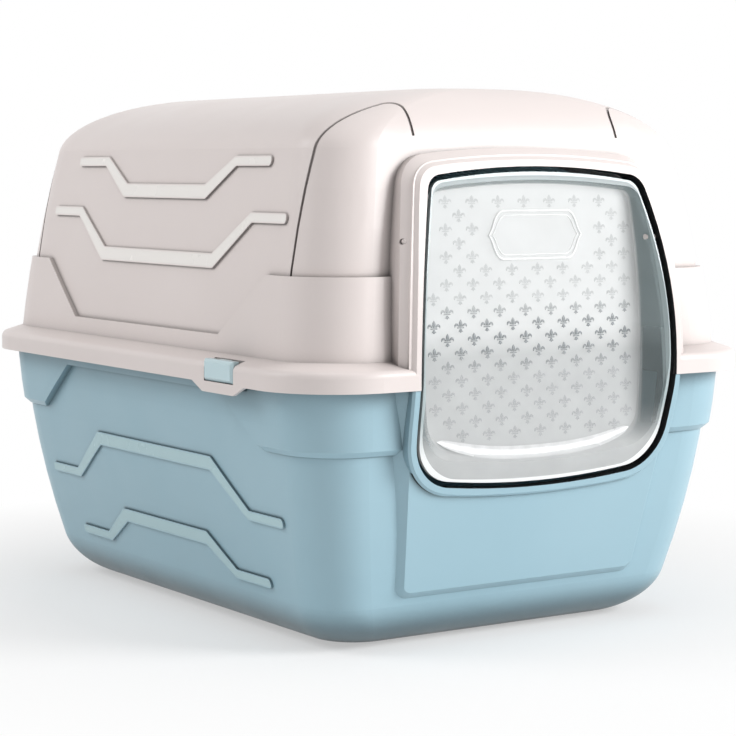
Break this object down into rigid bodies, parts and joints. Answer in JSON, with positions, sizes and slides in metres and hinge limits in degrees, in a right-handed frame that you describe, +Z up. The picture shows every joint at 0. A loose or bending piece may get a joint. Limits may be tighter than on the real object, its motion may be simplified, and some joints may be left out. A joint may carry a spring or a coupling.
{
  "type": "covered litter box",
  "caption": "Covered cat litter box rolled over by hand to sift itself: blue base, off-white hood, clear flap door, side drawer and folding handle.",
  "frame": {"origin": "middle of the base's underside, on the plane it rests on", "axes": "+Z up, -Y towards the door, +X towards the side with the waste drawer"},
  "size_m": [0.408, 0.5328, 0.3921],
  "materials": {
    "base_blue": "satin powder blue",
    "hood_white": "satin warm off-white",
    "door_clear": "frosted clear plastic",
    "pin_white": "satin",
    "latch_blue": "satin",
    "spring_wire": "drawn wire",
    "pin_steel": "brushed",
    "drawer_blue": "satin powder blue",
    "inner_white": "matt",
    "grid_blue": "matt",
    "handle_dark": "matt dark"
  },
  "bodies": {
    "base": {"base_tray": "base_blue", "hinge_pin_left": "pin_steel", "hinge_pin_right": "pin_steel"},
    "hood": {"hood_shell": "hood_white", "door_pin_left": "pin_white", "door_pin_right": "pin_white", "latch_spring_left": "spring_wire", "latch_spring_right": "spring_wire", "drawer_cradle": "inner_white", "sieve_grid": "grid_blue", "grid_clips": "inner_white", "handle_pin_front": "pin_steel", "handle_pin_rear": "pin_steel"},
    "door": {"door_flap": "door_clear"},
    "left_latch": {"latch_left": "latch_blue"},
    "right_latch": {"latch_right": "latch_blue"},
    "drawer": {"waste_drawer": "drawer_blue"},
    "handle": {"carry_handle": "handle_dark"}
  },
  "joints": [
    {"name": "hood_tilt", "type": "hinge", "parent": "base", "child": "hood", "pos_m": [0, 0.2668, 0.19], "axis": [-1, 0, 0], "range_deg": [0, 95]},
    {"name": "door_swing", "type": "hinge", "parent": "hood", "child": "door", "pos_m": [0, -0.243, 0.285], "axis": [1, 0, 0], "range_deg": [-75, 75]},
    {"name": "latch_left_press", "type": "slide", "parent": "hood", "child": "left_latch", "axis": [1, 0, 0], "range_m": [0, 0.003], "stiffness_N_per_m": 300, "springref_m": -0.003, "deforming": ["latch_spring_left"]},
    {"name": "latch_right_press", "type": "slide", "parent": "hood", "child": "right_latch", "axis": [-1, 0, 0], "range_m": [0, 0.003], "stiffness_N_per_m": 300, "springref_m": -0.003, "deforming": ["latch_spring_right"]},
    {"name": "drawer_slide", "type": "slide", "parent": "hood", "child": "drawer", "axis": [1, 0, 0], "range_m": [0, 0.062]},
    {"name": "handle_fold", "type": "hinge", "parent": "hood", "child": "handle", "pos_m": [0.019, 0, 0.384], "axis": [0, 1, 0], "range_deg": [0, 90]}
  ]
}
